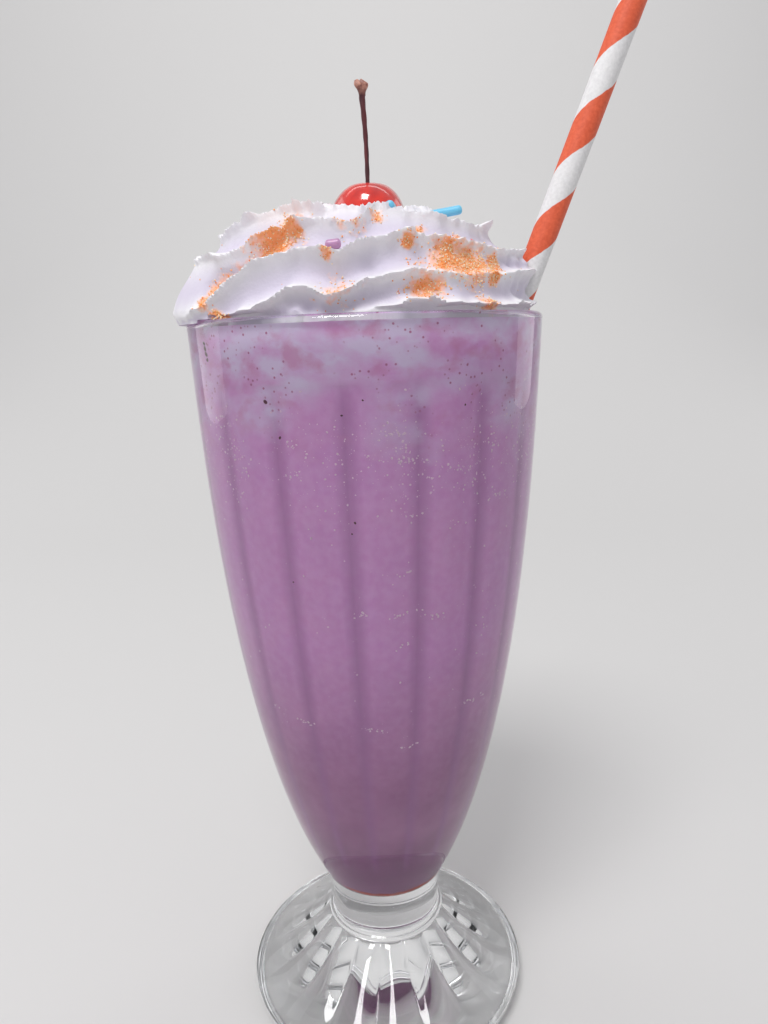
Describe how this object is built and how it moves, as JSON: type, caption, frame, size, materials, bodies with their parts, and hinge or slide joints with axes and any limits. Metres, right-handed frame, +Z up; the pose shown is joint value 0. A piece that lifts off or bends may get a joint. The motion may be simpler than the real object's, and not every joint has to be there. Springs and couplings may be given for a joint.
{
  "type": "milkshake",
  "caption": "Pink milkshake in a fluted, footed soda-fountain glass, heaped with whipped cream, orange sugar, sprinkles, a cherry on its stem and a striped paper straw.",
  "frame": {"origin": "middle of the foot's flat underside, on the table", "axes": "+Z up the glass's axis, front towards -Y, the straw leans towards +X"},
  "size_m": [0.1164, 0.086, 0.2731],
  "materials": {
    "clear_glass": "polished pressed soda-lime glass",
    "shake": "thick pink-lilac shake, soft and slightly glossy",
    "syrup_red": "clear red syrup, glossy",
    "cream": "whipped cream, soft and matte",
    "cherry_red": "glossy preserved cherry",
    "stem_brown": "dark maroon stalk with a brown woody end",
    "straw_paper": "matte paper, orange-red spiral stripe on white"
  },
  "bodies": {
    "root": {"glass": "clear_glass", "milkshake": "shake", "syrup": "syrup_red", "whipped_cream": "cream", "cherry": "cherry_red", "cherry_stem": "stem_brown", "straw": "straw_paper"}
  },
  "joints": []
}
